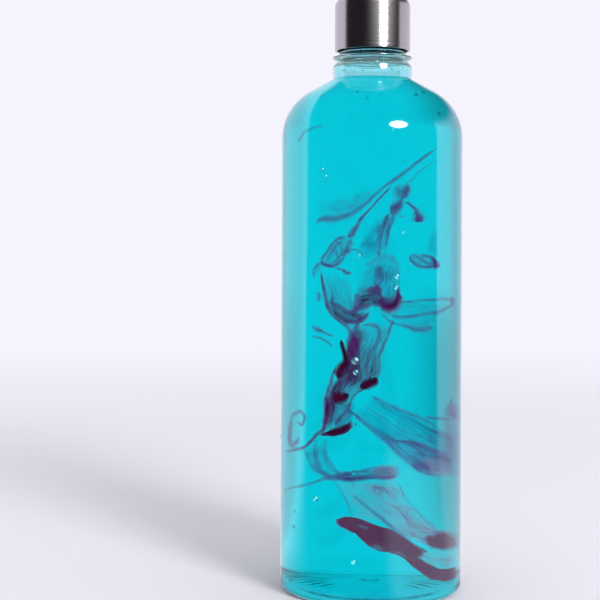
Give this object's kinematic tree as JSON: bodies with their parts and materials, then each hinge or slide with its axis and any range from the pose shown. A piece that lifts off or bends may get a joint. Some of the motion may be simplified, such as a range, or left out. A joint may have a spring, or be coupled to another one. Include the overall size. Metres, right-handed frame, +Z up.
{
  "type": "plastic bottle",
  "caption": "Round clear plastic bottle with a domed shoulder and short neck, full of dyed liquid, under a metal-cased screw cap.",
  "frame": {"origin": "centre of the base, on the surface that the bottle stands on", "axes": "+Z up along the bottle's axis, towards the cap"},
  "size_m": [0.076, 0.076, 0.2482],
  "materials": {
    "clear_plastic": "gloss",
    "dyed_liquid": "gloss",
    "brushed_steel": "satin",
    "cap_plastic": "satin",
    "seal_foam": "matte"
  },
  "bodies": {
    "bottle": {"bottle_body": "clear_plastic", "liquid": "dyed_liquid"},
    "seal": {"cap_seal": "seal_foam"},
    "cap": {"cap_shell": "brushed_steel", "cap_insert": "cap_plastic"}
  },
  "joints": [
    {"name": "cap_rise", "type": "slide", "parent": "bottle", "child": "seal", "axis": [0, 0, 1], "range_m": [0, 0.00557]},
    {"name": "cap_turn", "type": "hinge", "parent": "seal", "child": "cap", "pos_m": [0, 0, 0.22565], "axis": [0, 0, 1], "range_deg": [0, 630]}
  ],
  "couplings": [
    {"joint": "cap_rise", "follows": "cap_turn", "m_per_rad": 0.00050611}
  ]
}
